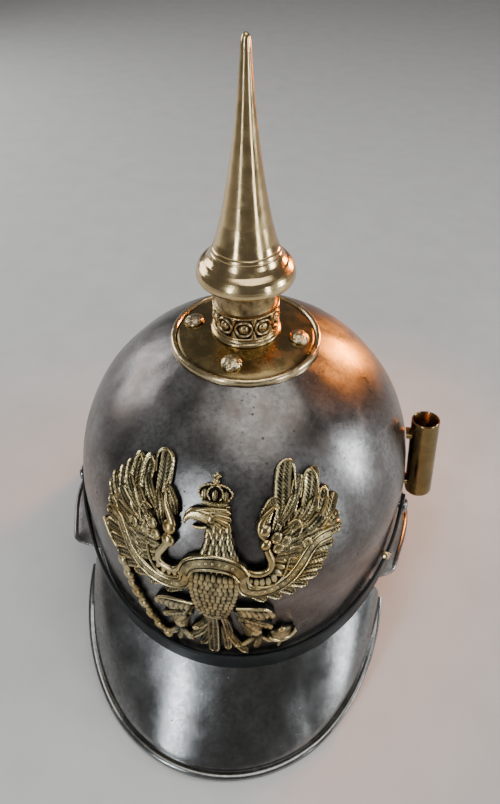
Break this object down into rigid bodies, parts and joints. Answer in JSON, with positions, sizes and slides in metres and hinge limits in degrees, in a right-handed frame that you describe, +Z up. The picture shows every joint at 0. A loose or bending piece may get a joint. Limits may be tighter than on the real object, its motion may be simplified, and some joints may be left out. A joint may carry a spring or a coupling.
{
  "type": "spiked steel helmet",
  "caption": "Spiked steel helmet with a rounded visor, flared neck guard, brass spike and base plate, eagle plate, side tube and leather chin strap.",
  "frame": {"origin": "middle of the bottom of the helmet's box, on the surface that it stands on", "axes": "+Z up along the spike, -Y towards the front of the helmet, +X to the wearer's left"},
  "size_m": [0.2266, 0.2942, 0.3149],
  "materials": {
    "skull_steel": "aged, satin, with brown mottling",
    "visor_steel": "polished, with small pits",
    "plate_brass": "satin, slightly tarnished",
    "brass": "polished",
    "eagle_brass": "worn high points, dark patina in the recesses",
    "tube_brass": "satin, tarnished",
    "strap_leather": "smooth black, half gloss"
  },
  "bodies": {
    "root": {"skull": "skull_steel", "visor": "visor_steel", "base_plate": "plate_brass", "plate_rivet_1": "brass", "plate_rivet_2": "brass", "plate_rivet_3": "brass", "plate_rivet_4": "brass", "spike_neck": "brass", "spike": "brass", "eagle_plate": "eagle_brass", "plume_tube": "tube_brass", "chin_strap": "strap_leather", "strap_post_left": "visor_steel", "strap_post_right": "visor_steel", "strap_slide": "brass"}
  },
  "joints": []
}
